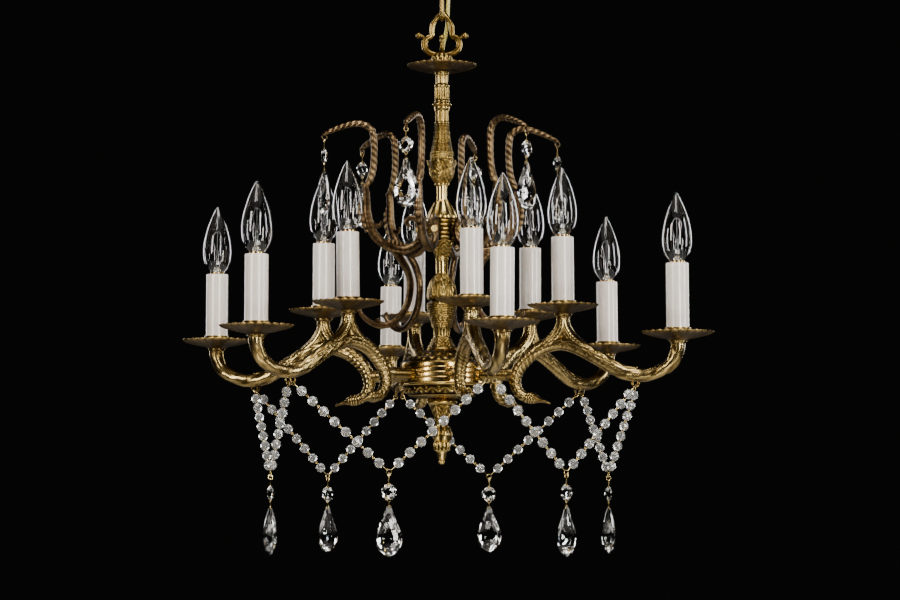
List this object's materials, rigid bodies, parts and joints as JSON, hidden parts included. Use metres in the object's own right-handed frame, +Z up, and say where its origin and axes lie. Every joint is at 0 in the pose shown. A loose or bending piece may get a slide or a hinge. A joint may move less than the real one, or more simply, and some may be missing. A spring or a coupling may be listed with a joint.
{
  "type": "chandelier",
  "caption": "Cast brass candle chandelier with swan-neck arms, scroll brackets, glass bead garlands and crystal drops, hung from a chain and ceiling canopy.",
  "frame": {"origin": "middle of the ceiling strap's upper face, between its two screw holes, in the plane of the ceiling", "axes": "+Z up towards the ceiling, +X along the ceiling strap, -Y towards the front; everything hangs at negative Z"},
  "size_m": [0.5615, 0.5694, 0.702],
  "materials": {
    "antique_brass": "antiqued cast brass, brown in the hollows and bright on the edges",
    "polished_brass": "polished and lacquered brass",
    "dark_bronze": "dark red-brown patinated brass",
    "zinc_steel": "zinc plated steel",
    "ivory_sleeve": "glossy ivory candle sleeve",
    "black_phenolic": "moulded black lamp holder",
    "bulb_glass": "clear blown glass",
    "filament_wire": "glass stem with tungsten wire",
    "crystal": "clear cut lead crystal on brass wire",
    "clear_gold_cord": "clear gold lamp cord"
  },
  "bodies": {
    "ceiling": {"ceiling_strap": "zinc_steel", "ceiling_canopy": "polished_brass", "canopy_nipple": "zinc_steel", "canopy_loop": "polished_brass", "power_cord": "clear_gold_cord"},
    "link_1": {"chain_link_1": "antique_brass"},
    "link_2": {"chain_link_2": "antique_brass"},
    "link_3": {"chain_link_3": "antique_brass"},
    "chandelier": {"top_loop": "antique_brass", "top_dish": "antique_brass", "upper_sleeve": "polished_brass", "reeded_vase": "antique_brass", "leaf_cup": "antique_brass", "neck_tube": "polished_brass", "ribbed_barrel": "antique_brass", "lower_stem": "polished_brass", "leaf_bulb": "antique_brass", "leaf_knop": "antique_brass", "hub_dome": "antique_brass", "hub_drum": "polished_brass", "hub_pan": "antique_brass", "bottom_cone": "antique_brass", "finial": "antique_brass", "center_rod": "zinc_steel", "rod_nuts": "zinc_steel", "arm_1": "antique_brass", "arm_2": "antique_brass", "arm_3": "antique_brass", "arm_4": "antique_brass", "arm_5": "antique_brass", "arm_6": "antique_brass", "arm_nipples": "polished_brass", "arm_nuts": "zinc_steel", "bobeches": "antique_brass", "candle_cups": "antique_brass", "candle_sleeves": "ivory_sleeve", "lamp_sockets": "black_phenolic", "bulb_bases": "polished_brass", "bulb_glass": "bulb_glass", "bulb_filaments": "filament_wire", "scrolls": "dark_bronze", "scroll_screws": "polished_brass"},
    "garland_1": {"garland_1": "crystal"},
    "lower_drop_1": {"lower_drop_1": "crystal"},
    "tip_drop_1": {"tip_drop_1": "crystal"},
    "garland_2": {"garland_2": "crystal"},
    "lower_drop_2": {"lower_drop_2": "crystal"},
    "tip_drop_2": {"tip_drop_2": "crystal"},
    "garland_3": {"garland_3": "crystal"},
    "lower_drop_3": {"lower_drop_3": "crystal"},
    "tip_drop_3": {"tip_drop_3": "crystal"},
    "garland_4": {"garland_4": "crystal"},
    "lower_drop_4": {"lower_drop_4": "crystal"},
    "tip_drop_4": {"tip_drop_4": "crystal"},
    "garland_5": {"garland_5": "crystal"},
    "lower_drop_5": {"lower_drop_5": "crystal"},
    "tip_drop_5": {"tip_drop_5": "crystal"},
    "garland_6": {"garland_6": "crystal"},
    "lower_drop_6": {"lower_drop_6": "crystal"},
    "tip_drop_6": {"tip_drop_6": "crystal"}
  },
  "joints": [
    {"name": "link_1_swing", "type": "hinge", "parent": "ceiling", "child": "link_1", "pos_m": [0, 0, -0.048], "axis": [1, 0, 0], "range_deg": [-15, 15], "deforming": ["power_cord"]},
    {"name": "link_2_swing", "type": "hinge", "parent": "link_1", "child": "link_2", "pos_m": [0, 0, -0.0769], "axis": [0, 1, 0], "range_deg": [-15, 15], "deforming": ["power_cord"]},
    {"name": "link_3_swing", "type": "hinge", "parent": "link_2", "child": "link_3", "pos_m": [0, 0, -0.106], "axis": [1, 0, 0], "range_deg": [-15, 15], "deforming": ["power_cord"]},
    {"name": "chandelier_swing", "type": "hinge", "parent": "link_3", "child": "chandelier", "pos_m": [0, 0, -0.1351], "axis": [0, 1, 0], "range_deg": [-15, 15], "deforming": ["power_cord"]},
    {"name": "tip_drop_1_swing", "type": "hinge", "parent": "chandelier", "child": "tip_drop_1", "pos_m": [0.12359, 0.02922, -0.2678], "axis": [0.9732, 0.23, 0], "range_deg": [-20, 20]},
    {"name": "tip_drop_2_swing", "type": "hinge", "parent": "chandelier", "child": "tip_drop_2", "pos_m": [0.03649, 0.12164, -0.2678], "axis": [0.2874, 0.9578, 0], "range_deg": [-20, 20]},
    {"name": "tip_drop_3_swing", "type": "hinge", "parent": "chandelier", "child": "tip_drop_3", "pos_m": [-0.0871, 0.09243, -0.2678], "axis": [-0.6858, 0.7278, 0], "range_deg": [-20, 20]},
    {"name": "tip_drop_4_swing", "type": "hinge", "parent": "chandelier", "child": "tip_drop_4", "pos_m": [-0.12359, -0.02922, -0.2678], "axis": [-0.9732, -0.23, 0], "range_deg": [-20, 20]},
    {"name": "tip_drop_5_swing", "type": "hinge", "parent": "chandelier", "child": "tip_drop_5", "pos_m": [-0.03649, -0.12164, -0.2678], "axis": [-0.2874, -0.9578, 0], "range_deg": [-20, 20]},
    {"name": "tip_drop_6_swing", "type": "hinge", "parent": "chandelier", "child": "tip_drop_6", "pos_m": [0.0871, -0.09243, -0.2678], "axis": [0.6858, -0.7278, 0], "range_deg": [-20, 20]},
    {"name": "garland_1_swing", "type": "hinge", "parent": "chandelier", "child": "garland_1", "pos_m": [0.20119, -0.05671, -0.5284], "axis": [-0.23, 0.9732, 0], "range_deg": [-20, 4]},
    {"name": "lower_drop_1_swing", "type": "hinge", "parent": "garland_1", "child": "lower_drop_1", "pos_m": [0.17785, 0.04204, -0.621], "axis": [-0.23, 0.9732, 0], "range_deg": [-20, 20]},
    {"name": "garland_2_swing", "type": "hinge", "parent": "chandelier", "child": "garland_2", "pos_m": [0.1497, 0.14588, -0.5284], "axis": [-0.9578, 0.2874, 0], "range_deg": [-20, 4]},
    {"name": "lower_drop_2_swing", "type": "hinge", "parent": "garland_2", "child": "lower_drop_2", "pos_m": [0.05251, 0.17504, -0.621], "axis": [-0.9578, 0.2874, 0], "range_deg": [-20, 20]},
    {"name": "garland_3_swing", "type": "hinge", "parent": "chandelier", "child": "garland_3", "pos_m": [-0.05149, 0.20259, -0.5284], "axis": [-0.7278, -0.6858, 0], "range_deg": [-20, 4]},
    {"name": "lower_drop_3_swing", "type": "hinge", "parent": "garland_3", "child": "lower_drop_3", "pos_m": [-0.12533, 0.133, -0.621], "axis": [-0.7278, -0.6858, 0], "range_deg": [-20, 20]},
    {"name": "garland_4_swing", "type": "hinge", "parent": "chandelier", "child": "garland_4", "pos_m": [-0.20119, 0.05671, -0.5284], "axis": [0.23, -0.9732, 0], "range_deg": [-20, 4]},
    {"name": "lower_drop_4_swing", "type": "hinge", "parent": "garland_4", "child": "lower_drop_4", "pos_m": [-0.17785, -0.04204, -0.621], "axis": [0.23, -0.9732, 0], "range_deg": [-20, 20]},
    {"name": "garland_5_swing", "type": "hinge", "parent": "chandelier", "child": "garland_5", "pos_m": [-0.1497, -0.14588, -0.5284], "axis": [0.9578, -0.2874, 0], "range_deg": [-20, 4]},
    {"name": "lower_drop_5_swing", "type": "hinge", "parent": "garland_5", "child": "lower_drop_5", "pos_m": [-0.05251, -0.17504, -0.621], "axis": [0.9578, -0.2874, 0], "range_deg": [-20, 20]},
    {"name": "garland_6_swing", "type": "hinge", "parent": "chandelier", "child": "garland_6", "pos_m": [0.05149, -0.20259, -0.5284], "axis": [0.7278, 0.6858, 0], "range_deg": [-20, 4]},
    {"name": "lower_drop_6_swing", "type": "hinge", "parent": "garland_6", "child": "lower_drop_6", "pos_m": [0.12533, -0.133, -0.621], "axis": [0.7278, 0.6858, 0], "range_deg": [-20, 20]}
  ]
}
